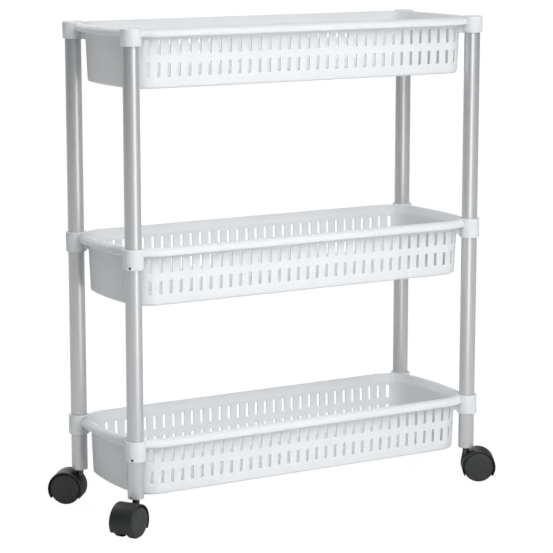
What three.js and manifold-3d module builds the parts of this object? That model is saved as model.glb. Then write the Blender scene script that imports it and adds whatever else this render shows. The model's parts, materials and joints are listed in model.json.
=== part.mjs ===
// Slim three-tier rolling cart: three moulded baskets on four tube posts with twin-wheel casters.
// Millimetres, +Z up. The origin is on the floor under the middle of the frame,
// +X runs along the long side and +Y points to the back.
import * as THREE from 'three';
import { mergeVertices } from 'three/addons/utils/BufferGeometryUtils.js';
import Module from 'manifold-3d';

const wasm = await Module();
wasm.setup();

// ---- Driving dimensions -------------------------------------------------------------------

const GAP = 0.3;                     // air left between pieces that fit together

const CART_HEIGHT = 609;
const POST_SPACING_X = 486;
const POST_SPACING_Y = 157.5;
const BASKET_TOPS = { bottom: 115.6, middle: 349, top: CART_HEIGHT };

const TUBE_RADIUS = 10;
const TUBE_WALL = 1;
const TUBE_FOOT = 44.5;              // height of the tube's lower end above the floor

// Plan outline of a basket's rim. Every other outline is this one moved inwards.
const RIM_HALF_LENGTH = 254.8;       // to the middle of the bowed ends
const RIM_HALF_WIDTH = 90.8;
const RIM_CORNER_RADIUS = 45;
const RIM_END_RADIUS = 340;          // the short ends bow out gently

const BASKET_HEIGHT = 72.5;
const WALL = 1.8;
const WALL_INSET_TOP = 12;           // outer wall face, inwards from the rim's outline
const WALL_INSET_BOTTOM = 15;        // the walls lean in towards the floor
const FLOOR_EDGE_ROUND = 3.5;
const RIM_DROP = 10.4;               // lower edge of the rolled rim, below the collar's top
const RIM_CREST_DROP = 0.9;
const RIM_ROUND = 5.5;
const RIM_SKIN = 1.8;
const RIM_ROOF = 3;                  // thickness of the rim above its open channel
const RIM_FLARE_INSET = 8.5;         // inner edge of the crest
const FLARE_LOW = -9.4;              // where the wall starts to flare out to the rim
const FLARE_HIGH = 0.5;

const SLOT_COUNT = 33;
const SLOT_PITCH = 13.7;
const SLOT_WIDTH = 4;
const SLOT_ROWS = [                  // below the collar's top
  { top: 15, bottom: 32.6 },
  { top: 42, bottom: 59 },
];
const FLOOR_SLOT_ROWS = 9;
const FLOOR_SLOT_ROW_PITCH = 14.4;
const FLOOR_SLOTS_PER_ROW = 3;
const FLOOR_SLOT_PITCH = 144;
const FLOOR_SLOT_LENGTH = 130;
const FLOOR_SLOT_WIDTH = 4.2;

const COLLAR_RADIUS = 12.75;
const COLLAR_HEIGHT = 24.5;
const CAP_HEIGHT = 20.6;
const CAP_ROOF = 3;
const WEB_WIDTH = 11;
const WEB_DROP = 21.5;               // lower edge of the web, below the collar's top
const WEB_REACH = 20;
const WEB_TURN = THREE.MathUtils.degToRad(42);

const SCREW_RADIUS = 1.5;
const SCREW_DROP = 21.6;             // screw axis below the collar's top
const SCREW_SOCKET_RADIUS = 0.8;
const SCREW_SOCKET_DEPTH = 1.4;

const WHEEL_RADIUS = 20;
const WHEEL_INNER_FACE = 5.4;        // from the caster's middle plane
const WHEEL_OUTER_FACE = 15;
const WHEEL_HUB_RADIUS = 6;
const WHEEL_TREAD = 3.4;             // thickness of the tread band
const WHEEL_DISC = 3;                // thickness of the outer disc away from the hub
const WHEEL_BEVEL = 1.6;
const AXLE_RADIUS = 2.5;
const AXLE_HALF_LENGTH = 12.2;
const TRAIL = 16.4;                  // axle behind the swivel axis
const HOOD_RADIUS = 22;
const HOOD_SKIN = 1.2;
const HOOD_HALF_WIDTH = 15.5;
const HOOD_SKIRT_DROP = 10.6;        // lower edge of the hood, below the axle
const HOOD_WEB_HALF_WIDTH = 4.6;
const HOOD_BOSS_RADIUS = 7.6;        // the neck that holds the stem
const HOOD_BOSS_TOP = 36;
const STEM_RADIUS = 4.4;
const STEM_BOTTOM = 25.5;
const STEM_TOP = 74;
const STEM_TIP = 2;                  // bevel at the stem's upper end
const SOCKET_BORE = 5.2;
const SOCKET_LENGTH = 34;
const SOCKET_ROOF = 2;
const SOCKET_SETBACK = 0.5;          // the socket ends just inside the tube
const RING_HEIGHT = 68;              // grip ring on the stem, above the floor
const RING_HALF_HEIGHT = 1.2;
const RING_DEPTH = 0.9;
const RING_GROOVE = 0.9;
const RING_OPENING = 0.5;            // half of the ring's opening, in radians

// Which way each caster trails when the cart stands still, in degrees from +X.
const CORNERS = [
  { name: 'front_left', x: -1, y: -1, trail: -148 },
  { name: 'front_right', x: 1, y: -1, trail: -31 },
  { name: 'back_left', x: -1, y: 1, trail: 140 },
  { name: 'back_right', x: 1, y: 1, trail: 32 },
];

const WHITE_PLASTIC = { color: 0xf2f3f4, roughness: 0.42, metalness: 0 };
const SILVER_TUBE = { color: 0xb9babd, roughness: 0.34, metalness: 0.85 };
const BLACK_PLASTIC = { color: 0x2c2e2e, roughness: 0.5, metalness: 0 };
const WHEEL_PLASTIC = { color: 0x38393a, roughness: 0.46, metalness: 0 };
const DARK_STEEL = { color: 0x3c3d40, roughness: 0.4, metalness: 0.9 };
const BRIGHT_STEEL = { color: 0xa7a9ac, roughness: 0.3, metalness: 0.95 };

const TUBE_SIDES = 16;
const COLLAR_SIDES = 16;
const WHEEL_SIDES = 18;
const HOOD_SIDES = 22;
const STEM_SIDES = 10;
const AXLE_SIDES = 10;
const SCREW_SIDES = 8;
const SCREW_SOCKET_SIDES = 6;
const RING_STEPS = 4;
const OUTLINE_STEPS = 2;             // each arc of an outline gets twice as many chords

// ---- Solids ------------------------------------------------------------------------------

function solidOf(geometry) {
  const bare = geometry.clone();
  bare.deleteAttribute('normal');
  bare.deleteAttribute('uv');
  const merged = mergeVertices(bare, 1e-4);
  return new wasm.Manifold(new wasm.Mesh({
    numProp: 3,
    vertProperties: new Float32Array(merged.attributes.position.array),
    triVerts: new Uint32Array(merged.index.array),
  }));
}

function geometryOf(solid) {
  const mesh = solid.getMesh();
  const geometry = new THREE.BufferGeometry();
  geometry.setAttribute('position', new THREE.BufferAttribute(mesh.vertProperties, 3));
  geometry.setIndex(new THREE.BufferAttribute(mesh.triVerts, 1));
  geometry.computeVertexNormals();
  return geometry;
}

function piece(name, geometry, finish) {
  const mesh = new THREE.Mesh(geometry, new THREE.MeshStandardMaterial(finish));
  mesh.name = name;
  return mesh;
}

// A box between two heights, centred on (x, y) and turned about Z.
function block(lengthX, lengthY, low, high, x = 0, y = 0, turn = 0) {
  const geometry = new THREE.BoxGeometry(lengthX, lengthY, high - low);
  geometry.rotateZ(turn);
  geometry.translate(x, y, (low + high) / 2);
  return geometry;
}

// An upright cylinder between two heights.
function post(radius, low, high, x = 0, y = 0, sides = COLLAR_SIDES) {
  const geometry = new THREE.CylinderGeometry(radius, radius, high - low, sides);
  geometry.rotateX(Math.PI / 2);
  geometry.translate(x, y, (low + high) / 2);
  return geometry;
}

// A lathe profile of [radius, height] pairs, turned about Z.
function turned(profile, sides) {
  const points = profile.map(([radius, height]) => new THREE.Vector2(radius, height));
  const geometry = new THREE.LatheGeometry(points, sides);
  geometry.rotateX(Math.PI / 2);
  return geometry;
}

// ---- Basket ------------------------------------------------------------------------------

// The rim's outline moved inwards by inset: straight sides, round corners, bowed ends.
function outline(inset) {
  const radius = RIM_CORNER_RADIUS - inset;
  const endRadius = RIM_END_RADIUS - inset;
  const endCentre = RIM_HALF_LENGTH - RIM_END_RADIUS;
  const cornerY = RIM_HALF_WIDTH - RIM_CORNER_RADIUS;
  const cornerX = endCentre + Math.sqrt((endRadius - radius) ** 2 - cornerY ** 2);
  const turn = Math.atan2(cornerY, cornerX - endCentre);
  const shape = new THREE.Shape();
  shape.absarc(endCentre, 0, endRadius, -turn, turn, false);
  shape.absarc(cornerX, cornerY, radius, turn, Math.PI / 2, false);
  shape.absarc(-cornerX, cornerY, radius, Math.PI / 2, Math.PI - turn, false);
  shape.absarc(-endCentre, 0, endRadius, Math.PI - turn, Math.PI + turn, false);
  shape.absarc(-cornerX, -cornerY, radius, Math.PI + turn, Math.PI * 1.5, false);
  shape.absarc(cornerX, -cornerY, radius, Math.PI * 1.5, Math.PI * 2 - turn, false);
  return shape;
}

// A prism on the outline, with its lower end drawn in from insetTop to insetBottom.
// edgeRound rounds its ends, in as many steps as roundSteps.
function tub(insetBottom, insetTop, low, high, edgeRound = 0, roundSteps = 1) {
  const geometry = new THREE.ExtrudeGeometry(outline(insetTop), {
    depth: high - low - 2 * edgeRound,
    curveSegments: OUTLINE_STEPS,
    bevelEnabled: edgeRound > 0,
    bevelThickness: edgeRound,
    bevelSize: edgeRound,
    bevelOffset: -edgeRound,
    bevelSegments: roundSteps,
  });
  geometry.translate(0, 0, low + edgeRound);
  const drawIn = insetBottom - insetTop;
  const position = geometry.attributes.position;
  for (let i = 0; i < position.count; i += 1) {
    const share = (high - position.getZ(i)) / (high - low);
    position.setX(i, position.getX(i) * (1 - share * drawIn / (RIM_HALF_LENGTH - insetTop)));
    position.setY(i, position.getY(i) * (1 - share * drawIn / (RIM_HALF_WIDTH - insetTop)));
  }
  return solidOf(geometry);
}

// Heights in a basket are measured from the collar's top, so they are negative.
function basketShell() {
  const wallTop = -RIM_CREST_DROP - RIM_ROUND;
  const walls = tub(WALL_INSET_BOTTOM, WALL_INSET_TOP, -BASKET_HEIGHT, 0, FLOOR_EDGE_ROUND)
    .intersect(solidOf(block(CART_HEIGHT, CART_HEIGHT, -BASKET_HEIGHT, wallTop)));
  const rimLow = -RIM_DROP - RIM_ROUND;
  const rim = tub(0, 0, rimLow, -RIM_CREST_DROP, RIM_ROUND, 2)
    .intersect(solidOf(block(CART_HEIGHT, CART_HEIGHT, -RIM_DROP, 0)));
  const channel = tub(RIM_SKIN, RIM_SKIN + 1, -RIM_DROP - 1, -RIM_CREST_DROP - RIM_ROOF)
    .subtract(tub(WALL_INSET_TOP, WALL_INSET_TOP, -RIM_DROP - 2, FLARE_LOW))
    .subtract(tub(WALL_INSET_TOP, RIM_FLARE_INSET - WALL, FLARE_LOW, FLARE_HIGH));
  return walls.add(rim.subtract(channel));
}

function basketHollow() {
  const floorTop = -BASKET_HEIGHT + WALL;
  const inside = tub(WALL_INSET_BOTTOM + WALL, WALL_INSET_TOP + WALL, floorTop, WALL);
  const flare = tub(WALL_INSET_TOP + WALL, RIM_FLARE_INSET, FLARE_LOW, FLARE_HIGH);
  return inside.add(flare);
}

function wallSlots() {
  const first = -SLOT_PITCH * (SLOT_COUNT - 1) / 2;
  const slots = [];
  for (const row of SLOT_ROWS) {
    for (let i = 0; i < SLOT_COUNT; i += 1) {
      const x = first + i * SLOT_PITCH;
      slots.push(solidOf(block(SLOT_WIDTH, 2 * RIM_HALF_WIDTH, -row.bottom, -row.top, x)));
    }
  }
  return slots;
}

function floorSlots() {
  const low = -BASKET_HEIGHT - 1;
  const high = -BASKET_HEIGHT + WALL + 1;
  const slots = [];
  for (let row = 0; row < FLOOR_SLOT_ROWS; row += 1) {
    for (let i = 0; i < FLOOR_SLOTS_PER_ROW; i += 1) {
      const x = (i - (FLOOR_SLOTS_PER_ROW - 1) / 2) * FLOOR_SLOT_PITCH;
      const y = (row - (FLOOR_SLOT_ROWS - 1) / 2) * FLOOR_SLOT_ROW_PITCH;
      slots.push(solidOf(block(FLOOR_SLOT_LENGTH, FLOOR_SLOT_WIDTH, low, high, x, y)));
    }
  }
  return slots;
}

// The web that ties a corner collar to the basket's wall runs along the corner's diagonal.
function collarWeb(corner, x, y) {
  const centreX = x - corner.x * WEB_REACH / 2 * Math.cos(WEB_TURN);
  const centreY = y - corner.y * WEB_REACH / 2 * Math.sin(WEB_TURN);
  const turn = corner.x * corner.y * WEB_TURN;
  return solidOf(block(WEB_REACH, WEB_WIDTH, -WEB_DROP, -RIM_ROOF, centreX, centreY, turn));
}

function screwHole(corner, x, y) {
  const direction = Math.atan2(corner.y, corner.x);
  const geometry = new THREE.CylinderGeometry(
    SCREW_RADIUS + GAP, SCREW_RADIUS + GAP, 2 * COLLAR_RADIUS, SCREW_SIDES);
  geometry.translate(0, COLLAR_RADIUS, 0);
  geometry.rotateZ(direction - Math.PI / 2);
  geometry.translate(x, y, -SCREW_DROP);
  return solidOf(geometry);
}

function basket(tier) {
  const isTop = tier === 'top';
  const collarHeight = isTop ? CAP_HEIGHT : COLLAR_HEIGHT;
  let body = basketShell();
  const cuts = [basketHollow(), ...wallSlots(), ...floorSlots()];
  for (const corner of CORNERS) {
    const x = corner.x * POST_SPACING_X / 2;
    const y = corner.y * POST_SPACING_Y / 2;
    body = body.add(solidOf(post(COLLAR_RADIUS, -collarHeight, 0, x, y)));
    body = body.add(collarWeb(corner, x, y));
    const boreTop = isTop ? -CAP_ROOF : 1;
    cuts.push(solidOf(post(TUBE_RADIUS + GAP, -collarHeight - 1, boreTop, x, y, TUBE_SIDES)));
    if (!isTop) {
      cuts.push(screwHole(corner, x, y));
    }
  }
  for (const cut of cuts) {
    body = body.subtract(cut);
  }
  const mesh = piece(`${tier}_basket`, geometryOf(body), WHITE_PLASTIC);
  mesh.position.z = BASKET_TOPS[tier];
  return mesh;
}

// ---- Posts and screws --------------------------------------------------------------------

function tube(corner) {
  const top = CART_HEIGHT - CAP_ROOF - GAP;
  const inner = TUBE_RADIUS - TUBE_WALL;
  const profile = [
    [inner, TUBE_FOOT],
    [TUBE_RADIUS, TUBE_FOOT],
    [TUBE_RADIUS, top],
    [inner, top],
    [inner, TUBE_FOOT],
  ];
  return piece(`${corner.name}_tube`, turned(profile, TUBE_SIDES), SILVER_TUBE);
}

// A headless screw lying along +X, its socket end outermost.
function setScrew(corner, tier) {
  const inner = TUBE_RADIUS + GAP;
  const outer = COLLAR_RADIUS;
  const body = new THREE.CylinderGeometry(SCREW_RADIUS, SCREW_RADIUS, outer - inner, SCREW_SIDES);
  const socket = new THREE.CylinderGeometry(
    SCREW_SOCKET_RADIUS, SCREW_SOCKET_RADIUS, 2 * SCREW_SOCKET_DEPTH, SCREW_SOCKET_SIDES);
  body.rotateZ(-Math.PI / 2);
  socket.rotateZ(-Math.PI / 2);
  body.translate((inner + outer) / 2, 0, 0);
  socket.translate(outer, 0, 0);
  const solid = solidOf(body).subtract(solidOf(socket));
  const screw = piece(`${corner.name}_${tier}_screw`, geometryOf(solid), DARK_STEEL);
  screw.rotation.z = Math.atan2(corner.y, corner.x);
  screw.position.z = BASKET_TOPS[tier] - SCREW_DROP;
  return screw;
}

// ---- Caster ------------------------------------------------------------------------------
// Drawn with the swivel axis on Z, the floor at 0 and the axle along Y at x = TRAIL.

// A disc or ring about the axle, between two distances from the middle plane.
function aboutAxle(radius, from, to, sides) {
  const geometry = new THREE.CylinderGeometry(radius, radius, to - from, sides);
  geometry.translate(TRAIL, (from + to) / 2, WHEEL_RADIUS);
  return geometry;
}

function hood(name) {
  const skirt = WHEEL_RADIUS - HOOD_SKIRT_DROP;
  const webFace = HOOD_WEB_HALF_WIDTH;
  const hollowRadius = HOOD_RADIUS - HOOD_SKIN;
  const boss = solidOf(post(HOOD_BOSS_RADIUS, skirt, HOOD_BOSS_TOP))
    .intersect(solidOf(block(2 * HOOD_RADIUS, 2 * webFace, 0, HOOD_BOSS_TOP)));
  const openBelow = block(3 * HOOD_RADIUS, 2 * HOOD_RADIUS, -HOOD_RADIUS, skirt, TRAIL);
  const body = solidOf(aboutAxle(HOOD_RADIUS, -HOOD_HALF_WIDTH, HOOD_HALF_WIDTH, HOOD_SIDES))
    .subtract(solidOf(aboutAxle(hollowRadius, webFace, HOOD_HALF_WIDTH + 1, HOOD_SIDES)))
    .subtract(solidOf(aboutAxle(hollowRadius, -HOOD_HALF_WIDTH - 1, -webFace, HOOD_SIDES)))
    .add(boss)
    .subtract(solidOf(openBelow))
    .subtract(solidOf(post(STEM_RADIUS + GAP, STEM_BOTTOM - GAP, TUBE_FOOT, 0, 0, STEM_SIDES)))
    .subtract(solidOf(aboutAxle(AXLE_RADIUS + GAP, -AXLE_HALF_LENGTH, AXLE_HALF_LENGTH, AXLE_SIDES)));
  return piece(name, geometryOf(body), BLACK_PLASTIC);
}

function swivelStem(name) {
  const groove = STEM_RADIUS - RING_GROOVE;
  const profile = [
    [0, STEM_BOTTOM],
    [STEM_RADIUS, STEM_BOTTOM],
    [STEM_RADIUS, RING_HEIGHT - RING_HALF_HEIGHT - GAP],
    [groove, RING_HEIGHT - RING_HALF_HEIGHT - GAP],
    [groove, RING_HEIGHT + RING_HALF_HEIGHT + GAP],
    [STEM_RADIUS, RING_HEIGHT + RING_HALF_HEIGHT + GAP],
    [STEM_RADIUS, STEM_TOP - STEM_TIP],
    [STEM_RADIUS - STEM_TIP, STEM_TOP],
    [0, STEM_TOP],
  ];
  return piece(name, turned(profile, STEM_SIDES), DARK_STEEL);
}

// An open spring ring that sits in the stem's groove and grips the socket.
function gripRing(name) {
  const inner = STEM_RADIUS - RING_GROOVE + GAP;
  const outer = inner + RING_DEPTH;
  const end = Math.PI * 2 - RING_OPENING;
  const shape = new THREE.Shape();
  shape.absarc(0, 0, outer, RING_OPENING, end, false);
  shape.absarc(0, 0, inner, end, RING_OPENING, true);
  shape.closePath();
  const geometry = new THREE.ExtrudeGeometry(shape, {
    depth: 2 * RING_HALF_HEIGHT,
    curveSegments: RING_STEPS,
    bevelEnabled: false,
  });
  geometry.translate(0, 0, RING_HEIGHT - RING_HALF_HEIGHT);
  return piece(name, geometry, BRIGHT_STEEL);
}

// The wheel is dished on the inside, with a blind bore in its hub.
function wheel(name, side) {
  const bore = AXLE_RADIUS + GAP;
  const boreEnd = AXLE_HALF_LENGTH + GAP;
  const rimInner = WHEEL_RADIUS - WHEEL_TREAD;
  const dishFloor = WHEEL_OUTER_FACE - WHEEL_DISC;
  const profile = [
    [0, boreEnd],
    [bore, boreEnd],
    [bore, WHEEL_INNER_FACE],
    [WHEEL_HUB_RADIUS, WHEEL_INNER_FACE],
    [WHEEL_HUB_RADIUS, dishFloor],
    [rimInner, dishFloor],
    [rimInner, WHEEL_INNER_FACE],
    [WHEEL_RADIUS, WHEEL_INNER_FACE],
    [WHEEL_RADIUS, WHEEL_OUTER_FACE - WHEEL_BEVEL],
    [WHEEL_RADIUS - WHEEL_BEVEL, WHEEL_OUTER_FACE],
    [0, WHEEL_OUTER_FACE],
  ];
  const geometry = turned(profile, WHEEL_SIDES);
  geometry.rotateX(side > 0 ? -Math.PI / 2 : Math.PI / 2);
  geometry.translate(TRAIL, 0, WHEEL_RADIUS);
  return piece(name, geometry, WHEEL_PLASTIC);
}

function axle(name) {
  const geometry = aboutAxle(AXLE_RADIUS, -AXLE_HALF_LENGTH, AXLE_HALF_LENGTH, AXLE_SIDES);
  return piece(name, geometry, BRIGHT_STEEL);
}

// The socket is pressed into the tube's lower end and does not turn with the caster.
function stemSocket(corner) {
  const outer = TUBE_RADIUS - TUBE_WALL - GAP;
  const low = TUBE_FOOT + SOCKET_SETBACK;
  const high = low + SOCKET_LENGTH;
  const roof = high - SOCKET_ROOF;
  const profile = [
    [0, roof],
    [SOCKET_BORE, roof],
    [SOCKET_BORE, low],
    [outer, low],
    [outer, high],
    [0, high],
  ];
  return piece(`${corner.name}_stem_socket`, turned(profile, TUBE_SIDES), BLACK_PLASTIC);
}

function caster(corner) {
  const group = new THREE.Group();
  const name = `${corner.name}_caster`;
  group.add(hood(`${name}_hood`));
  group.add(swivelStem(`${name}_stem`));
  group.add(gripRing(`${name}_grip_ring`));
  group.add(axle(`${name}_axle`));
  group.add(wheel(`${name}_wheel_a`, -1));
  group.add(wheel(`${name}_wheel_b`, 1));
  group.rotation.z = THREE.MathUtils.degToRad(corner.trail);
  return group;
}

// ---- Assembly ----------------------------------------------------------------------------

const cart = new THREE.Group();
for (const tier of Object.keys(BASKET_TOPS)) {
  cart.add(basket(tier));
}
for (const corner of CORNERS) {
  const stand = new THREE.Group();
  stand.position.set(corner.x * POST_SPACING_X / 2, corner.y * POST_SPACING_Y / 2, 0);
  stand.add(tube(corner));
  stand.add(setScrew(corner, 'middle'));
  stand.add(setScrew(corner, 'bottom'));
  stand.add(stemSocket(corner));
  stand.add(caster(corner));
  cart.add(stand);
}

export default cart;
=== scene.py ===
"""Looks of a slim three-tier rolling cart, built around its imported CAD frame.

Shapes are drawn in millimetres, in each piece's own frame, and become metres when a mesh is finished.
A basket's own frame has its origin in the middle of the cart, level with the top of its collars. A
caster's own frame has the swivel axis on Z, the floor at 0 and the axle along Y.
"""
import json
import math

import bmesh
import bpy
from mathutils import Matrix, Vector
from mathutils.geometry import delaunay_2d_cdt


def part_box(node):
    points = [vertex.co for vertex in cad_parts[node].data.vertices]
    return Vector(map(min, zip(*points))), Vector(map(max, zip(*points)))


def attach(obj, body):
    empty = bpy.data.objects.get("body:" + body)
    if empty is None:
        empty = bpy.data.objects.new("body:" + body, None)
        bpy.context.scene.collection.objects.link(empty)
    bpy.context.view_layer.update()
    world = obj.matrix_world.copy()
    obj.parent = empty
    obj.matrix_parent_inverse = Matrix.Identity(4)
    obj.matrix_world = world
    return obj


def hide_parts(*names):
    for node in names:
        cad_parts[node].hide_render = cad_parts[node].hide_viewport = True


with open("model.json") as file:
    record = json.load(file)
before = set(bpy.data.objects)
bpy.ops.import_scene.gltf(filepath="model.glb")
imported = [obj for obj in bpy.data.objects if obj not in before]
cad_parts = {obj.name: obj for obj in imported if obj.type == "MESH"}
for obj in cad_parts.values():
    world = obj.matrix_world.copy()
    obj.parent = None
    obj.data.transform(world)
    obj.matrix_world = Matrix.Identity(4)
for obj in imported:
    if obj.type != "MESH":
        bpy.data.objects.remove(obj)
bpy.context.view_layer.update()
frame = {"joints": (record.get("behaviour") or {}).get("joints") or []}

MM = 0.001
CORNERS = ("front_left", "front_right", "back_left", "back_right")
TIERS = ("bottom", "middle", "top")


def node_box(node):
    """The node's lowest and highest corners in millimetres."""
    low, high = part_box(node)
    return low / MM, high / MM


def post_axis(corner):
    """Where a post stands, in millimetres."""
    low, high = node_box(f"{corner}_tube")
    return (low.x + high.x) / 2, (low.y + high.y) / 2


def tier_height(tier):
    """The top of a basket's collars above the floor, in millimetres."""
    return node_box(f"{tier}_basket")[1].z


def joint_place(name):
    """A joint's place in millimetres."""
    places = [joint["pos_m"] for joint in frame["joints"] if joint["name"] == name]
    return Vector(places[0]) / MM


# ---- Driving sizes ----------------------------------------------------------------------

# Heights in a basket are measured from the collars' top, so they are negative. A drop is how far
# something lies below that top.

SHARP_EDGE = math.radians(32)  # an edge that turns more than this is shaded sharp

POST_X, POST_Y = (abs(value) for value in post_axis("front_left"))
TUBE_LOW, TUBE_HIGH = node_box("front_left_tube")
TUBE_RADIUS = (TUBE_HIGH.x - TUBE_LOW.x) / 2
TUBE_WALL = 1.0
TUBE_SEAT = 0.15  # air between tube and collar

BASKET_LOW, BASKET_HIGH = node_box("middle_basket")
BASKET_HEIGHT = BASKET_HIGH.z - BASKET_LOW.z
WALL = 1.8
WALL_INSET = 12.0  # outer wall face, inwards from the rim's outline, at the collar's top
WALL_DRAFT = 3.0 / BASKET_HEIGHT
FLOOR_EDGE_ROUND = 3.5

RIM_HALF_LENGTH = 254.8
RIM_HALF_WIDTH = 90.8
RIM_CORNER_RADIUS = 45.0
RIM_END_RADIUS = 340.0
RIM_DROP = 10.4  # lower edge of the rolled rim
RIM_CREST_DROP = 0.9
RIM_CREST_INSET = 6.7
RIM_CREST_FLAT = 0.9
RIM_SIDE_DROP = 7.4  # where the rolled rim turns vertical
RIM_SHOULDER_ROUND = 1.7

# The step from the wall to the rim, as (inset from the rim's outline, height) points.
OUTER_STEP = ((12.3, -11.0), (12.1, -10.1), (8.8, -3.9), (8.0, -3.0))
INNER_STEP = ((12.9, -8.5), (13.7, -10.0), (14.15, -11.6))

SLOT_COUNT = 33
SLOT_PITCH = 13.7
SLOT_WIDTH = 4.0
SLOT_CORNER = 0.8
SLOT_EDGE = 0.3  # rounding of a slot's edges
SLOT_EDGE_MIDDLE = 0.09  # how far the rounding's middle is from both faces
SLOT_MARGIN = 1.0  # plain border of the cell around a slot
SLOT_ROWS = ((-32.6, -15.0), (-59.0, -42.0))  # lower and upper end of each row's slots
FLOOR_ROWS = 9
FLOOR_ROW_PITCH = 14.4
FLOOR_SLOTS = 9
FLOOR_SLOT_PITCH = 47.0
FLOOR_SLOT_LENGTH = 39.0
FLOOR_SLOT_WIDTH = 4.2
FLOOR_SLOT_CORNER = 1.6

COLLAR_RADIUS = 12.75
COLLAR_HEIGHT = 24.5
COLLAR_EDGE = 0.6
CAP_HEIGHT = 20.6
CAP_EDGE = 1.1
CAP_ROOF = 3.0
BORE_FLARE = 1.4  # how much wider a cutter is where it leaves the collar
WEB_WIDTH = 11.0
WEB_LENGTH = 18.6
WEB_TOP_DROP = 8.5
WEB_DROP = 21.5
WEB_EDGE = 1.2
WEB_TURN = math.radians(42)

SCREW_RADIUS = 1.5
SCREW_GAP = 0.1
SCREW_DROP = 21.6
SCREW_LENGTH = 2.45
SCREW_KEY_RADIUS = 0.85
SCREW_KEY_FLOOR = 1.0

WHEEL_RADIUS = 20.0
WHEEL_INNER = 5.4  # inner and outer side of a wheel, from the caster's middle plane
WHEEL_OUTER = 15.0
WHEEL_HUB_RADIUS = 6.0
WHEEL_WEB = 4.5  # thickness of the wheel between hub and tread
WHEEL_TREAD = 3.2
DISC_INSET = 1.7  # raised outer disc, inwards from the tread
DISC_RISE = 2.75
TRAIL = 16.4  # axle's distance from the swivel axis
AXLE_RADIUS = 2.5
AXLE_GAP = 0.2
AXLE_HALF_LENGTH = 12.2
HOOD_RADIUS = 22.0
HOOD_SKIN = 1.2
HOOD_EDGE = 1.0
HOOD_HALF_WIDTH = 15.5
HOOD_WEB = 5.1  # half thickness of the plate between the wheels
HOOD_BOSS_TOP = 35.5
HOOD_SKIRT = 8.5  # lower edge of the hood above the floor
STEM_RADIUS = 4.4
STEM_GAP = 0.1
STEM_BOTTOM = 25.5
STEM_TOP = 74.0
STEM_TAPER = 2.0
PLUG_RADIUS = 8.7
PLUG_BORE = 5.2
PLUG_LENGTH = 34.0
PLUG_ROOF = 2.0
RING_HEIGHT = 68.0
RING_HALF_HEIGHT = 1.2
RING_HALF_DEPTH = 0.45
RING_OPENING = 0.5  # half of the ring's opening, in radians
GROOVE_RADIUS = 3.5


# ---- Mesh helpers -----------------------------------------------------------------------


def arc(centre, radii, start, end, steps):
    """Points of an arc or a stretch of an ellipse, between two angles in degrees."""
    points = []
    for i in range(steps + 1):
        angle = math.radians(start + (end - start) * i / steps)
        points.append((centre[0] + radii[0] * math.cos(angle), centre[1] + radii[1] * math.sin(angle)))
    return points


def rounded(corners, steps=4):
    """A closed outline of (x, y, radius) corners, with each corner rounded to its radius."""
    points = []
    count = len(corners)
    for i, (x, y, radius) in enumerate(corners):
        if radius == 0:
            points.append((x, y))
            continue
        corner = Vector((x, y))
        before = (Vector(corners[i - 1][:2]) - corner).normalized()
        after = (Vector(corners[(i + 1) % count][:2]) - corner).normalized()
        half = before.angle(after) / 2
        centre = corner + (before + after).normalized() * radius / math.sin(half)
        start = corner + before * radius / math.tan(half) - centre
        turn = start.angle_signed(corner + after * radius / math.tan(half) - centre)
        for step in range(steps + 1):
            points.append(tuple(centre + Matrix.Rotation(-turn * step / steps, 2) @ start))
    return points


def rectangle(low_x, high_x, half_width):
    """A rectangle that lies evenly about the X axis."""
    return [(low_x, -half_width), (high_x, -half_width), (high_x, half_width), (low_x, half_width)]


def shaded(mesh):
    """Shades the mesh smooth, apart from its sharp edges."""
    for polygon in mesh.polygons:
        polygon.use_smooth = True
    mesh.set_sharp_from_angle(angle=SHARP_EDGE)
    return mesh


def finished(bm, name):
    """Turns a bmesh in millimetres into a smooth-shaded object in metres."""
    bmesh.ops.remove_doubles(bm, verts=bm.verts, dist=1e-4)
    bmesh.ops.recalc_face_normals(bm, faces=bm.faces)
    bmesh.ops.scale(bm, vec=(MM, MM, MM), verts=bm.verts)
    mesh = bpy.data.meshes.new(name)
    bm.to_mesh(mesh)
    bm.free()
    item = bpy.data.objects.new(name, shaded(mesh))
    bpy.context.scene.collection.objects.link(item)
    return item


def stitch(bm, first, second):
    """Adds the faces between two loops of as many vertices."""
    for k in range(len(first)):
        after = (k + 1) % len(first)
        bm.faces.new((first[k], second[k], second[after], first[after]))


def turned(outline, name, sides=64):
    """A closed (radius, height) outline turned about Z. Points on the axis close the solid."""
    bm = bmesh.new()
    rings = []
    for radius, height in outline:
        if radius < 1e-6:
            rings.append([bm.verts.new((0, 0, height))])
            continue
        ring = []
        for i in range(sides):
            angle = 2 * math.pi * i / sides
            ring.append(bm.verts.new((radius * math.cos(angle), radius * math.sin(angle), height)))
        rings.append(ring)
    for i, ring in enumerate(rings):
        following = rings[(i + 1) % len(rings)]
        if len(ring) == 1 and len(following) == 1:
            continue
        for k in range(sides):
            after = (k + 1) % sides
            corners = [ring[k % len(ring)], ring[after % len(ring)]]
            corners += [following[after % len(following)], following[k % len(following)]]
            bm.faces.new(list(dict.fromkeys(corners)))
    return finished(bm, name)


def rod(radius, low, high, name, sides=64):
    """A plain cylinder about Z, for cutting holes."""
    return turned([(0, low), (radius, low), (radius, high), (0, high)], name, sides)


def prism(outline, low, high, name, edge=0.0):
    """A closed (x, y) outline between two heights, with the edges of its ends rounded by edge."""
    bm = bmesh.new()
    face = bm.faces.new([bm.verts.new((x, y, low)) for x, y in outline])
    grown = bmesh.ops.extrude_face_region(bm, geom=[face])
    top = [item for item in grown["geom"] if isinstance(item, bmesh.types.BMVert)]
    bmesh.ops.translate(bm, vec=(0, 0, high - low), verts=top)
    if edge:
        ends = [e for e in bm.edges if abs(e.verts[0].co.z - e.verts[1].co.z) < 1e-6]
        bmesh.ops.bevel(bm, geom=ends, offset=edge, segments=3, profile=0.5, affect="EDGES")
    return finished(bm, name)


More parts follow.
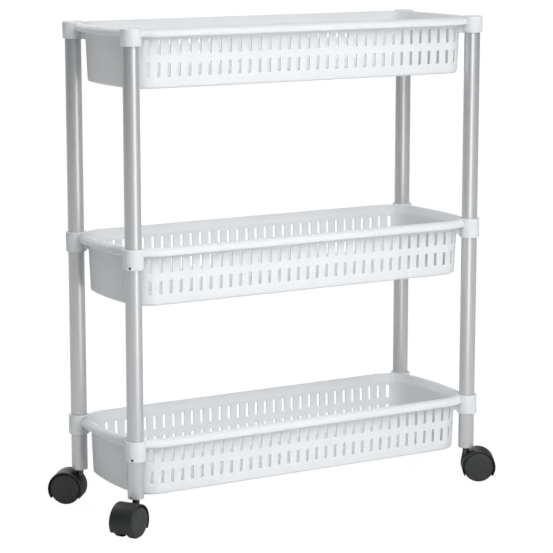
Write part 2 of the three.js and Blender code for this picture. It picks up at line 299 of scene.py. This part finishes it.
def moved(item, matrix):
    """Applies a move, in millimetres, to the object's mesh."""
    matrix = matrix.copy()
    matrix.translation = matrix.translation * MM
    item.data.transform(matrix)
    return item


def joined(items):
    """One object made of the meshes of several."""
    bm = bmesh.new()
    for item in items:
        bm.from_mesh(item.data)
    mesh = bpy.data.meshes.new(items[0].name)
    bm.to_mesh(mesh)
    bm.free()
    for item in items[1:]:
        bpy.data.objects.remove(item)
    items[0].data = mesh
    return items[0]


def combined(item, operation, other):
    """Adds the other solid to this one, or cuts it away, and removes the other."""
    modifier = item.modifiers.new("combine", "BOOLEAN")
    modifier.operation = operation
    modifier.solver = "MANIFOLD"
    modifier.object = other
    bpy.context.view_layer.update()
    evaluated = item.evaluated_get(bpy.context.evaluated_depsgraph_get())
    mesh = bpy.data.meshes.new_from_object(evaluated)
    item.modifiers.clear()
    item.data = shaded(mesh)
    bpy.data.objects.remove(other)
    return item


def taken(item):
    """The object's mesh, without the object."""
    mesh = item.data
    bpy.data.objects.remove(item)
    return mesh


# ---- Basket -----------------------------------------------------------------------------


def wall_inset(height):
    """Outer wall face, inwards from the rim's outline, at a height below the collar's top."""
    return WALL_INSET - WALL_DRAFT * height


def rim_section():
    """The rolled rim's (inset, height) points, from its underside over the crest to the inner wall."""
    roll = (RIM_CREST_INSET, -RIM_SIDE_DROP)
    crest = RIM_SIDE_DROP - RIM_CREST_DROP
    lip = WALL / 2
    shoulder = (RIM_CREST_INSET + RIM_CREST_FLAT, -RIM_CREST_DROP - RIM_SHOULDER_ROUND)
    section = list(OUTER_STEP)
    section += arc(roll, (RIM_CREST_INSET - WALL, crest - WALL), 90, 180, 6)
    section += arc((lip, lip - RIM_DROP), (lip, lip), 0, -180, 5)
    section += arc(roll, (RIM_CREST_INSET, crest), 180, 90, 9)
    section += arc(shoulder, (RIM_SHOULDER_ROUND, RIM_SHOULDER_ROUND), 90, 28, 4)
    return section + list(INNER_STEP)


def basket_section():
    """The moulding's section as (inset, height) points, and where its slot rows start.

    It runs from under the floor up the outside, over the rim and down the inside to the floor.
    """
    floor = -BASKET_HEIGHT
    slot_heights = sorted(z for low, high in SLOT_ROWS for z in (low - SLOT_MARGIN, high + SLOT_MARGIN))
    edge = FLOOR_EDGE_ROUND
    foot = wall_inset(floor + edge) + edge
    section = arc((foot, floor + edge), (edge, edge), 270, 180, 6)
    outer_row = len(section)
    section += [(wall_inset(z), z) for z in slot_heights]
    section += rim_section()
    inner_row = len(section)
    section += [(wall_inset(z) + WALL, z) for z in reversed(slot_heights)]
    inner_edge = edge - WALL + 0.5
    inner_floor = floor + WALL + inner_edge
    inner_foot = wall_inset(inner_floor) + WALL + inner_edge
    section += arc((inner_foot, inner_floor), (inner_edge, inner_edge), 180, 270, 5)
    return section, outer_row, inner_row


def steps_between(start, end, longest):
    """Values from start to end, without end, no further apart than longest."""
    count = max(1, math.ceil(abs(end - start) / longest))
    return [start + (end - start) * i / count for i in range(count)]


def on_arc(centre, radius, angle, slot=None):
    """A station of the rim's outline: its point, its outward normal and the slot it marks."""
    normal = Vector((math.cos(angle), math.sin(angle)))
    return Vector(centre) + normal * radius, normal, slot


def quarter_stations():
    """(point, normal, slot) along the rim's outline, from the middle of the +X end to the middle slot.

    slot is the number of the slot whose edge the station marks, or None.
    """
    end_centre = RIM_HALF_LENGTH - RIM_END_RADIUS
    corner_y = RIM_HALF_WIDTH - RIM_CORNER_RADIUS
    corner_x = end_centre + math.sqrt((RIM_END_RADIUS - RIM_CORNER_RADIUS) ** 2 - corner_y**2)
    corner = (corner_x, corner_y)
    angle = math.atan2(corner_y, corner_x - end_centre)
    end_angles = steps_between(0, angle, math.radians(1.2))
    stations = [on_arc((end_centre, 0), RIM_END_RADIUS, a) for a in end_angles]
    wall_radius = RIM_CORNER_RADIUS - WALL_INSET - WALL
    half_cell = SLOT_WIDTH / 2 + SLOT_MARGIN
    for slot in reversed(range(SLOT_COUNT // 2 + 1)):
        middle = slot * SLOT_PITCH
        for x in (middle + half_cell, middle - half_cell):
            if x < 0:
                continue
            if x <= corner_x:
                stations.append((Vector((x, RIM_HALF_WIDTH)), Vector((0, 1)), slot))
                continue
            line = math.acos((x - corner_x) / wall_radius)
            if x > middle:
                between = steps_between(angle, line, math.radians(6))
                stations += [on_arc(corner, RIM_CORNER_RADIUS, a) for a in between]
            stations.append(on_arc(corner, RIM_CORNER_RADIUS, line, slot))
            angle = line
    return stations


def rim_stations():
    """The quarter's stations mirrored into the whole outline, anticlockwise."""
    quarter = quarter_stations()
    flip = Vector((-1, 1))
    half = quarter + [(point * flip, normal * flip, slot) for point, normal, slot in reversed(quarter)]
    return half[:-1] + [(-point, -normal, slot) for point, normal, slot in half[:-1]]


def slot_outline(half_width, half_height, radius):
    """A rounded slot about (0, 0), anticlockwise from its lower left corner."""
    inner_x, inner_y = half_width - radius, half_height - radius
    points = []
    for x, y, start in ((-1, -1, 180), (1, -1, 270), (1, 1, 0), (-1, 1, 90)):
        points += arc((x * inner_x, y * inner_y), (radius, radius), start, start + 90, 4)
    return points


def slot_loop(bm, outer, inner, height, grow, depth):
    """A loop of a wall slot's inside, wider than the slot by grow, at a depth below the outer face."""
    half_cell = SLOT_WIDTH / 2 + SLOT_MARGIN
    loop = []
    for a, b in slot_outline(SLOT_WIDTH / 2 + grow, height / 2 + grow, SLOT_CORNER + grow):
        u = 0.5 + a / (2 * half_cell)
        v = 0.5 + b / (height + 2 * SLOT_MARGIN)
        sides = []
        for corners in (outer, inner):
            low = corners[0].co.lerp(corners[1].co, u)
            high = corners[3].co.lerp(corners[2].co, u)
            sides.append(low.lerp(high, v))
        loop.append(bm.verts.new(sides[0].lerp(sides[1], depth / WALL)))
    return loop


def fill_round_slot(bm, corners, loop, flipped):
    """Fills one face of a wall cell, between its four corners and the slot's loop in it."""
    count = len(loop)
    quarter = count // 4
    for side in range(4):
        first = side * quarter + quarter // 2
        along = [loop[(first + k) % count] for k in range(quarter + 1)]
        face = [corners[side], corners[(side + 1) % 4]] + along[::-1]
        bm.faces.new(face[::-1] if flipped else face)


def cut_slot(bm, outer, inner, height):
    """Fills a wall cell, given by its outer and inner corners, leaving a slot through it."""
    middle = SLOT_EDGE_MIDDLE
    rounding = ((SLOT_EDGE, 0), (middle, middle), (0, SLOT_EDGE))
    levels = list(rounding) + [(grow, WALL - depth) for grow, depth in reversed(rounding)]
    loops = [slot_loop(bm, outer, inner, height, grow, depth) for grow, depth in levels]
    fill_round_slot(bm, outer, loops[0], False)
    fill_round_slot(bm, inner, loops[-1], True)
    for above, below in zip(loops, loops[1:]):
        stitch(bm, below, above)


def floor_slots(bm, levels):
    """The loops of each floor slot. levels holds how much a loop is wider than the slot, and its height."""
    slots = []
    for row in range(FLOOR_ROWS):
        y = (row - (FLOOR_ROWS - 1) / 2) * FLOOR_ROW_PITCH
        for i in range(FLOOR_SLOTS):
            x = (i - (FLOOR_SLOTS - 1) / 2) * FLOOR_SLOT_PITCH
            loops = []
            for grow, z in levels:
                half_length = FLOOR_SLOT_LENGTH / 2 + grow
                outline = slot_outline(half_length, FLOOR_SLOT_WIDTH / 2 + grow, FLOOR_SLOT_CORNER + grow)
                loops.append([bm.verts.new((x + a, y + b, z)) for a, b in outline])
            slots.append(loops)
    return slots


def perforate_floor(bm, ring, levels):
    """Fills the ring with a flat floor face that has slots in it, and returns the slots' loops."""
    slots = floor_slots(bm, levels)
    verts, edges, owner = [], [], []
    for number, loop in enumerate([ring] + [loops[0] for loops in slots]):
        first = len(verts)
        verts += loop
        owner += [number] * len(loop)
        edges += [(first + k, first + (k + 1) % len(loop)) for k in range(len(loop))]
    flat = [vert.co.xy for vert in verts]
    _, _, triangles, sources, _, _ = delaunay_2d_cdt(flat, edges, [], 0, 1e-5)
    for triangle in triangles:
        corners = [sources[k][0] for k in triangle]
        owners = {owner[k] for k in corners}
        if len(owners) > 1 or owners == {0}:
            bm.faces.new([verts[k] for k in corners])
    return slots


def basket_walls(bm):
    """The wall and rim with their slots. Returns the rings that bound the floor, below and above."""
    section, outer_row, inner_row = basket_section()
    stations = rim_stations()
    rows = [[bm.verts.new((*(point - normal * inset), z)) for point, normal, _ in stations]
            for inset, z in section]
    slot_rows = {outer_row: 1, outer_row + 2: 0}
    inner_of = {outer_row: inner_row + 2, outer_row + 2: inner_row}
    count = len(stations)
    for i in range(count):
        after = (i + 1) % count
        is_slot = stations[i][2] is not None and stations[i][2] == stations[after][2]
        for j in range(len(section) - 1):
            if is_slot and j in slot_rows:
                k = inner_of[j]
                outer = (rows[j][i], rows[j][after], rows[j + 1][after], rows[j + 1][i])
                inner = (rows[k + 1][i], rows[k + 1][after], rows[k][after], rows[k][i])
                low, high = SLOT_ROWS[slot_rows[j]]
                cut_slot(bm, outer, inner, high - low)
            elif not (is_slot and j in inner_of.values()):
                bm.faces.new((rows[j][i], rows[j][after], rows[j + 1][after], rows[j + 1][i]))
    return rows[0], rows[-1]


def basket_shell():
    """The moulded tub with its slots and rolled rim, without collars."""
    bm = bmesh.new()
    lower_ring, upper_ring = basket_walls(bm)
    under = -BASKET_HEIGHT
    top = under + WALL
    lower = perforate_floor(bm, lower_ring, ((SLOT_EDGE, under), (0, under + SLOT_EDGE)))
    upper = perforate_floor(bm, upper_ring, ((SLOT_EDGE, top), (0, top - SLOT_EDGE)))
    for low_loops, high_loops in zip(lower, upper):
        loops = low_loops + high_loops[::-1]
        for first, second in zip(loops, loops[1:]):
            stitch(bm, first, second)
    return finished(bm, "basket_shell")


def collar(is_top):
    """A corner's collar, or the top basket's closed cap, before its bore."""
    height = CAP_HEIGHT if is_top else COLLAR_HEIGHT
    edge = CAP_EDGE if is_top else COLLAR_EDGE
    outline = [(0, -height, 0), (COLLAR_RADIUS, -height, 0.5), (COLLAR_RADIUS, 0, edge), (0, 0, 0)]
    return turned(rounded(outline), "collar")


def collar_bore(is_top):
    """What the tube takes out of a collar: right through, or up to the cap's roof."""
    low = -CAP_HEIGHT if is_top else -COLLAR_HEIGHT
    bore = TUBE_RADIUS + TUBE_SEAT
    flare = bore + BORE_FLARE
    outline = [(0, low - 1, 0), (flare, low - 1, 0), (bore, low + 0.4, 0.3)]
    if is_top:
        outline += [(bore, -CAP_ROOF, 0), (0, -CAP_ROOF, 0)]
    else:
        outline += [(bore, -0.5, 0.3), (flare, 1, 0), (0, 1, 0)]
    return turned(rounded(outline), "bore")


def collar_web():
    """The block that ties a collar to the basket's wall, pointing along -X."""
    outline = rectangle(-WEB_LENGTH, 0, WEB_WIDTH / 2)
    return prism(outline, -WEB_DROP, -WEB_TOP_DROP, "web", WEB_EDGE)


def unturned(x, y):
    return Matrix.Identity(4)


def web_turn(x, y):
    """The turn that points a corner's web at the basket."""
    along = math.copysign(math.cos(WEB_TURN), x)
    across = math.copysign(math.sin(WEB_TURN), y)
    return Matrix.Rotation(math.atan2(across, along), 4, "Z")


def outwards(x, y):
    """The turn that points Z away from the cart's middle, along a corner's diagonal."""
    angle = math.atan2(math.copysign(1, y), math.copysign(1, x))
    return Matrix.Rotation(angle, 4, "Z") @ Matrix.Rotation(math.pi / 2, 4, "Y")


def screw_hole():
    """The hole for a set screw, from inside the tube to outside the collar."""
    return rod(SCREW_RADIUS + SCREW_GAP, TUBE_RADIUS - 2, COLLAR_RADIUS + 2, "hole", 32)


def screw_place(x, y):
    return Matrix.Translation((0, 0, -SCREW_DROP)) @ outwards(x, y)


def at_corners(make, turn):
    """The four solids at a basket's corners, each turned by its corner's turn, as one object."""
    solids = []
    for x in (-POST_X, POST_X):
        for y in (-POST_Y, POST_Y):
            solids.append(moved(make(), Matrix.Translation((x, y, 0)) @ turn(x, y)))
    return joined(solids)


def basket_mesh(is_top):
    """The whole moulding: tub, four collars or caps, their webs and their holes."""
    shell = combined(basket_shell(), "UNION", at_corners(lambda: collar(is_top), unturned))
    shell = combined(shell, "UNION", at_corners(collar_web, web_turn))
    shell = combined(shell, "DIFFERENCE", at_corners(lambda: collar_bore(is_top), unturned))
    if not is_top:
        shell = combined(shell, "DIFFERENCE", at_corners(screw_hole, screw_place))
    return taken(shell)


# ---- Posts, screws and plugs ------------------------------------------------------------


def tube_mesh():
    inner = TUBE_RADIUS - TUBE_WALL
    low, high = TUBE_LOW.z, TUBE_HIGH.z
    outline = [(inner, low, 0.2), (TUBE_RADIUS, low, 0.3), (TUBE_RADIUS, high, 0.3), (inner, high, 0.2)]
    return taken(turned(rounded(outline), "tube", 96))


def screw_mesh():
    """A headless screw about Z, its hexagon socket at the top."""
    outline = [(0, 0, 0), (SCREW_RADIUS - 0.4, 0, 0), (SCREW_RADIUS, 0.4, 0)]
    outline += [(SCREW_RADIUS, SCREW_LENGTH, 0.2), (0, SCREW_LENGTH, 0)]
    key = rod(SCREW_KEY_RADIUS, SCREW_KEY_FLOOR, SCREW_LENGTH + 1, "key", 6)
    return taken(combined(turned(rounded(outline), "screw", 48), "DIFFERENCE", key))


def plug_mesh():
    """The plug in a post's lower end, which the caster's stem turns in."""
    low = TUBE_LOW.z + 0.5
    high = low + PLUG_LENGTH
    roof = high - PLUG_ROOF
    outline = [(0, roof, 0), (PLUG_BORE, roof, 0), (PLUG_BORE, low, 0.6)]
    outline += [(PLUG_RADIUS, low, 0.5), (PLUG_RADIUS, high, 0.8), (0, high, 0)]
    return taken(turned(rounded(outline), "plug"))


# ---- Caster -----------------------------------------------------------------------------

TO_AXLE = Matrix.Translation((TRAIL, 0, WHEEL_RADIUS)) @ Matrix.Rotation(-math.pi / 2, 4, "X")


def about_axle(corners, name, side=1, sides=96):
    """A rounded outline of (radius, distance from the middle plane, rounding) turned about the axle."""
    outline = rounded([(radius, side * distance, rounding) for radius, distance, rounding in corners])
    return moved(turned(outline, name, sides), TO_AXLE)


def axle_rod(radius, half_length, edge, name):
    """A rod that lies evenly about the caster's middle plane."""
    corners = [(0, -half_length, 0), (radius, -half_length, edge), (radius, half_length, edge)]
    return about_axle(corners + [(0, half_length, 0)], name, sides=48)


def wheel_well(side):
    """The room for a wheel, cut out of the hood's drum."""
    inner = HOOD_RADIUS - HOOD_SKIN
    outside = HOOD_HALF_WIDTH + 2
    corners = [(0, HOOD_WEB, 0), (inner, HOOD_WEB, 1.2), (inner, outside, 0), (0, outside, 0)]
    return about_axle(corners, "well", side)


def hood_mesh():
    """A drum cut off below, with a well for each wheel and a boss for the stem."""
    half = HOOD_HALF_WIDTH
    corners = [(0, -half, 0), (HOOD_RADIUS, -half, HOOD_EDGE), (HOOD_RADIUS, half, HOOD_EDGE), (0, half, 0)]
    hood = about_axle(corners, "drum")
    hood = combined(hood, "DIFFERENCE", joined([wheel_well(-1), wheel_well(1)]))
    bore_end = STEM_BOTTOM - 0.3
    boss = [(0, bore_end - 2, 0), (HOOD_WEB, bore_end - 2, 0), (HOOD_WEB, HOOD_BOSS_TOP, 0.3)]
    hood = combined(hood, "UNION", turned(rounded(boss + [(0, HOOD_BOSS_TOP, 0)]), "boss"))
    reach = 3 * HOOD_RADIUS
    hood = combined(hood, "DIFFERENCE", prism(rectangle(-reach, reach, reach), -5, HOOD_SKIRT, "below"))
    stem_bore = rod(STEM_RADIUS + STEM_GAP, bore_end, HOOD_RADIUS + WHEEL_RADIUS + 2, "stem_bore")
    hood = combined(hood, "DIFFERENCE", stem_bore)
    axle_bore = axle_rod(AXLE_RADIUS + AXLE_GAP, HOOD_WEB + 4, 0, "axle_bore")
    return taken(combined(hood, "DIFFERENCE", axle_bore))


def wheel_mesh(side):
    """A wheel with a dished inner side, a hub with a blind bore, and a raised, domed outer disc."""
    bore, bore_end = AXLE_RADIUS + AXLE_GAP, AXLE_HALF_LENGTH + 0.3
    web, groove = WHEEL_OUTER - WHEEL_WEB, WHEEL_OUTER - DISC_RISE
    tread, disc, tread_wall = WHEEL_RADIUS, WHEEL_RADIUS - DISC_INSET, WHEEL_RADIUS - WHEEL_TREAD
    hub = [(0, bore_end, 0), (bore, bore_end, 0), (bore, WHEEL_INNER, 0.2)]
    hub += [(WHEEL_HUB_RADIUS, WHEEL_INNER, 0.4)]
    dish = [(WHEEL_HUB_RADIUS + 0.4, web, 0.8), (tread_wall - 0.2, web, 0.8), (tread_wall, WHEEL_INNER, 0.5)]
    rim = [(tread, WHEEL_INNER, 0.9), (tread, groove - 0.15, 0.8), (disc, groove + 0.05, 0.3)]
    dome = [(disc, WHEEL_OUTER - 0.15, 0.5), (tread - 8, WHEEL_OUTER + 0.1, 12), (0, WHEEL_OUTER + 0.2, 0)]
    return taken(about_axle(hub + dish + rim + dome, "wheel", side))


def stem_mesh():
    """The swivel pin, with a groove for the grip ring and a tapered tip."""
    groove = RING_HALF_HEIGHT + 0.3
    outline = [(0, STEM_BOTTOM, 0), (STEM_RADIUS, STEM_BOTTOM, 0.5)]
    outline += [(STEM_RADIUS, RING_HEIGHT - groove, 0.1), (GROOVE_RADIUS, RING_HEIGHT - groove, 0.1)]
    outline += [(GROOVE_RADIUS, RING_HEIGHT + groove, 0.1), (STEM_RADIUS, RING_HEIGHT + groove, 0.1)]
    outline += [(STEM_RADIUS, STEM_TOP - STEM_TAPER, 0.6), (STEM_RADIUS - STEM_TAPER, STEM_TOP, 0.6)]
    return taken(turned(rounded(outline + [(0, STEM_TOP, 0)]), "stem"))


def ring_mesh():
    """The open grip ring: a rounded strip bent round the stem's groove."""
    corners = rectangle(-RING_HALF_DEPTH, RING_HALF_DEPTH, RING_HALF_HEIGHT)
    strip = rounded([(x, y, 0.2) for x, y in corners])
    middle = GROOVE_RADIUS + 0.3 + RING_HALF_DEPTH
    bm = bmesh.new()
    rings = []
    steps = 48
    for i in range(steps + 1):
        angle = RING_OPENING + (2 * math.pi - 2 * RING_OPENING) * i / steps
        ring = []
        for depth, height in strip:
            radius = middle + depth
            point = (radius * math.cos(angle), radius * math.sin(angle), RING_HEIGHT + height)
            ring.append(bm.verts.new(point))
        rings.append(ring)
    for first, second in zip(rings, rings[1:]):
        stitch(bm, first, second)
    bm.faces.new(rings[0])
    bm.faces.new(rings[-1][::-1])
    return taken(finished(bm, "grip_ring"))


def axle_mesh():
    return taken(axle_rod(AXLE_RADIUS, AXLE_HALF_LENGTH, 0.4, "axle"))


# ---- Materials --------------------------------------------------------------------------


def new_node(tree, kind, **values):
    """A new node with some inputs set. From_Min, say, stands for the input From Min."""
    made = tree.nodes.new(kind)
    for name, value in values.items():
        made.inputs[name.replace("_", " ")].default_value = value
    return made


def noise(tree, vector, scale, detail):
    texture = new_node(tree, "ShaderNodeTexNoise", Scale=scale, Detail=detail)
    tree.links.new(vector, texture.inputs["Vector"])
    return texture.outputs["Fac"]


def ramp(tree, source, start, end, first, last):
    """Maps the values from start to end onto first to last."""
    ranged = new_node(tree, "ShaderNodeMapRange", From_Min=start, From_Max=end, To_Min=first, To_Max=last)
    tree.links.new(source, ranged.inputs["Value"])
    return ranged.outputs["Result"]


def product(tree, first, second):
    node = tree.nodes.new("ShaderNodeMath")
    node.operation = "MULTIPLY"
    for socket, value in zip(node.inputs, (first, second)):
        if isinstance(value, float):
            socket.default_value = value
        else:
            tree.links.new(value, socket)
    return node.outputs["Value"]


def mix(tree, factor, first, second):
    """Blends two colours. Each is a socket or a plain colour."""
    node = tree.nodes.new("ShaderNodeMix")
    node.data_type = "RGBA"
    tree.links.new(factor, node.inputs["Factor"])
    for name, value in (("A", first), ("B", second)):
        socket = [i for i in node.inputs if i.name == name and i.type == "RGBA"][0]
        if isinstance(value, tuple):
            socket.default_value = (*value, 1)
        else:
            tree.links.new(value, socket)
    return [o for o in node.outputs if o.type == "RGBA"][0]


def drawn_out(tree, stretch):
    """Object coordinates whose marks are drawn out along Z."""
    coordinates = tree.nodes.new("ShaderNodeTexCoord")
    drawn = new_node(tree, "ShaderNodeMapping", Scale=(1, 1, 1 / stretch))
    tree.links.new(coordinates.outputs["Object"], drawn.inputs["Vector"])
    return drawn.outputs["Vector"]


def rubbed_edges(tree, vector):
    """How rubbed the surface is: 1 on scuffed stretches of its edges, and 0 elsewhere."""
    geometry = tree.nodes.new("ShaderNodeNewGeometry")
    edge = ramp(tree, geometry.outputs["Pointiness"], 0.52, 0.6, 0, 1)
    scuff = ramp(tree, noise(tree, vector, 90, 5), 0.45, 0.7, 0, 1)
    return product(tree, edge, scuff)


def material(name, colour, roughness, metallic=0.0, grain=0.0004, bump=0.04, mottle=0.03, wear=0.15,
             depth=0.0, stretch=1.0):
    """A moulded or metal surface: mottled colour, uneven gloss, fine grain and rubbed edges.

    grain is the size of the finest marks in metres, wear how much lighter the rubbed edges are, depth how
    far light spreads inside the plastic in metres, and stretch how far the marks are drawn out along Z.
    """
    made = bpy.data.materials.new(name)
    made.use_nodes = True
    tree = made.node_tree
    shader = tree.nodes["Principled BSDF"].inputs
    shader["Metallic"].default_value = metallic
    if depth:
        shader["Subsurface Weight"].default_value = 0.6
        shader["Subsurface Radius"].default_value = (1, 1, 1)
        shader["Subsurface Scale"].default_value = depth
    vector = drawn_out(tree, stretch)
    shade = tuple(c * (1 - mottle) for c in colour)
    rubbed = tuple(min(1, c + wear * (1 - c)) for c in colour)
    base = mix(tree, ramp(tree, noise(tree, vector, 14, 4), 0.35, 0.65, 0, 1), colour, shade)
    tree.links.new(mix(tree, rubbed_edges(tree, vector), base, rubbed), shader["Base Color"])
    gloss = ramp(tree, noise(tree, vector, 45, 6), 0.3, 0.7, roughness - 0.05, roughness + 0.07)
    tree.links.new(gloss, shader["Roughness"])
    relief = new_node(tree, "ShaderNodeBump", Strength=bump, Distance=grain / 4)
    tree.links.new(noise(tree, vector, 1 / grain, 3), relief.inputs["Height"])
    tree.links.new(relief.outputs["Normal"], shader["Normal"])
    return made


def white_plastic():
    return material("white_plastic", (0.755, 0.775, 0.79), 0.42, grain=0.0006, bump=0.05, mottle=0.012,
                    depth=0.0025)


def silver_tube():
    return material("silver_tube", (0.64, 0.65, 0.66), 0.34, metallic=0.7, grain=0.001, bump=0.01,
                    mottle=0.01, wear=0.02, stretch=60)


def black_plastic():
    return material("black_plastic", (0.016, 0.018, 0.018), 0.5, grain=0.0005, bump=0.12, mottle=0.15,
                    wear=0.06)


def wheel_plastic():
    return material("wheel_plastic", (0.024, 0.026, 0.026), 0.5, grain=0.0005, bump=0.1, mottle=0.12,
                    wear=0.06)


def dark_steel():
    return material("dark_steel", (0.09, 0.09, 0.095), 0.38, metallic=0.9, grain=0.0003)


def bright_steel():
    return material("bright_steel", (0.6, 0.6, 0.61), 0.3, metallic=1.0, grain=0.0003)


# The looks of the record's material slots, by the slots' names.
LOOKS = {
    "white_plastic": white_plastic(),
    "silver_tube": silver_tube(),
    "black_plastic": black_plastic(),
    "wheel_plastic": wheel_plastic(),
    "dark_steel": dark_steel(),
    "bright_steel": bright_steel(),
}


# ---- Assembly ---------------------------------------------------------------------------


def place(mesh, name, node, body, slot, matrix):
    """A finished piece: the mesh at a place given in millimetres, standing for a CAD node."""
    item = bpy.data.objects.new(name, mesh)
    bpy.context.scene.collection.objects.link(item)
    matrix = matrix.copy()
    matrix.translation = matrix.translation * MM
    item.matrix_world = matrix
    mesh.materials.clear()
    mesh.materials.append(LOOKS[slot])
    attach(item, body)
    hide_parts(node)


def add_baskets():
    lower, top = basket_mesh(is_top=False), basket_mesh(is_top=True)
    for tier in TIERS:
        mesh = top if tier == "top" else lower
        lift = Matrix.Translation((0, 0, tier_height(tier)))
        place(mesh, f"{tier}_basket_moulding", f"{tier}_basket", "frame", "white_plastic", lift)


def add_post(corner, tube, plug, screw):
    """A post, its lower plug, and the screws that clamp the two lower baskets' collars to it."""
    x, y = post_axis(corner)
    stand = Matrix.Translation((x, y, 0))
    place(tube, f"{corner}_post", f"{corner}_tube", "frame", "silver_tube", stand)
    place(plug, f"{corner}_plug", f"{corner}_stem_socket", "frame", "black_plastic", stand)
    against_tube = outwards(x, y) @ Matrix.Translation((0, 0, TUBE_RADIUS + TUBE_SEAT))
    for tier in TIERS[:2]:
        level = Matrix.Translation((0, 0, tier_height(tier) - SCREW_DROP))
        name = f"{corner}_{tier}"
        matrix = stand @ level @ against_tube
        place(screw, f"{name}_set_screw", f"{name}_screw", "frame", "dark_steel", matrix)


def add_caster(corner, parts, wheels):
    """A caster under its post, trailing the way its CAD wheels do."""
    x, y = post_axis(corner)
    caster = f"{corner}_caster"
    trail = joint_place(f"{caster}_wheel_a_spin") - joint_place(f"{caster}_swivel")
    stand = Matrix.Translation((x, y, 0)) @ Matrix.Rotation(math.atan2(trail.y, trail.x), 4, "Z")
    for part, (slot, mesh) in parts.items():
        place(mesh, f"{caster}_{part}_look", f"{caster}_{part}", caster, slot, stand)
    for letter, mesh in wheels.items():
        node = f"{caster}_wheel_{letter}"
        place(mesh, f"{node}_look", node, node, "wheel_plastic", stand)


def add_posts_and_casters():
    tube, plug, screw = tube_mesh(), plug_mesh(), screw_mesh()
    parts = {
        "hood": ("black_plastic", hood_mesh()),
        "stem": ("dark_steel", stem_mesh()),
        "grip_ring": ("bright_steel", ring_mesh()),
        "axle": ("bright_steel", axle_mesh()),
    }
    wheels = {"a": wheel_mesh(-1), "b": wheel_mesh(1)}
    for corner in CORNERS:
        add_post(corner, tube, plug, screw)
        add_caster(corner, parts, wheels)


# ---- Studio -----------------------------------------------------------------------------

STAGE_WHITE = 1.05  # brightness of the stage as the camera sees it
STRIP_HEIGHT = 0.4  # middle of the strip light above the floor, in metres


def white_to_camera(tree, lit, target, white_kind, share):
    """Shows the lit stage as nearly plain white to the camera, while it lights the cart as it is."""
    path = tree.nodes.new("ShaderNodeLightPath")
    white = new_node(tree, white_kind, Color=(1, 1, 1, 1), Strength=STAGE_WHITE)
    blend = tree.nodes.new("ShaderNodeMixShader")
    factor, first, second = blend.inputs
    tree.links.new(product(tree, path.outputs["Is Camera Ray"], share), factor)
    tree.links.new(lit, first)
    tree.links.new(white.outputs[0], second)
    tree.links.new(blend.outputs[0], target)


def studio_floor():
    """A pale floor that reaches far behind the cart."""
    bpy.ops.mesh.primitive_plane_add(size=80, location=(0, 20, 0))
    floor = bpy.context.object
    floor.name = "studio_floor"
    pale = material("studio_floor", (0.82, 0.82, 0.82), 0.8, grain=0.01, mottle=0.004)
    tree = pale.node_tree
    lit = tree.nodes["Principled BSDF"].outputs["BSDF"]
    target = tree.nodes["Material Output"].inputs["Surface"]
    white_to_camera(tree, lit, target, "ShaderNodeEmission", 0.92)
    floor.data.materials.append(pale)


def surroundings(strength):
    """A white world that lights the cart weakly and evenly."""
    world = bpy.data.worlds.new("studio")
    world.use_nodes = True
    tree = world.node_tree
    backdrop = tree.nodes["Background"]
    backdrop.inputs["Color"].default_value = (1, 1, 1, 1)
    backdrop.inputs["Strength"].default_value = strength
    target = tree.nodes["World Output"].inputs["Surface"]
    white_to_camera(tree, backdrop.outputs["Background"], target, "ShaderNodeBackground", 1.0)
    bpy.context.scene.world = world


def add_light(name, kind, direction):
    """A light that shines on the cart. direction runs from the cart to the light."""
    lamp = bpy.data.lights.new(name, kind)
    item = bpy.data.objects.new(name, lamp)
    item.rotation_euler = Vector(direction).to_track_quat("Z", "Y").to_euler()
    bpy.context.scene.collection.objects.link(item)
    return lamp, item


def sun(name, azimuth, elevation, spread, strength):
    """A soft distant light. azimuth turns from the front, -Y, towards +X."""
    a, e = math.radians(azimuth), math.radians(elevation)
    direction = (math.sin(a) * math.cos(e), -math.cos(a) * math.cos(e), math.sin(e))
    lamp, _ = add_light(name, "SUN", direction)
    lamp.energy = strength
    lamp.angle = math.radians(spread)


def strip_light(name, x, y, width, height, power):
    """An upright strip in front of the cart, which draws the bright line on the posts."""
    lamp, item = add_light(name, "AREA", (x, y, 0))
    lamp.shape = "RECTANGLE"
    lamp.size = width
    lamp.size_y = height
    lamp.energy = power
    item.location = (x, y, STRIP_HEIGHT)
    item.visible_camera = False


def camera(location, pitch, yaw, lens):
    """The photograph's viewpoint. pitch is down from level and yaw is from the cart's front, in degrees."""
    data = bpy.data.cameras.new("camera")
    data.sensor_width = 36
    data.lens = lens
    item = bpy.data.objects.new("camera", data)
    item.location = location
    item.rotation_euler = (math.radians(90 - pitch), 0, math.radians(yaw))
    bpy.context.scene.collection.objects.link(item)
    bpy.context.scene.camera = item


add_baskets()
add_posts_and_casters()
studio_floor()
surroundings(strength=0.12)
sun("key", azimuth=0, elevation=43, spread=55, strength=2.0)
sun("rear_fill", azimuth=180, elevation=32, spread=60, strength=1.4)
strip_light("strip", x=-0.04, y=-0.64, width=0.3, height=1.6, power=2.4)
camera((-1.3886, -2.3663, 0.7721), pitch=10.131, yaw=-30.404, lens=142.41)
bpy.context.scene.view_settings.view_transform = "Standard"
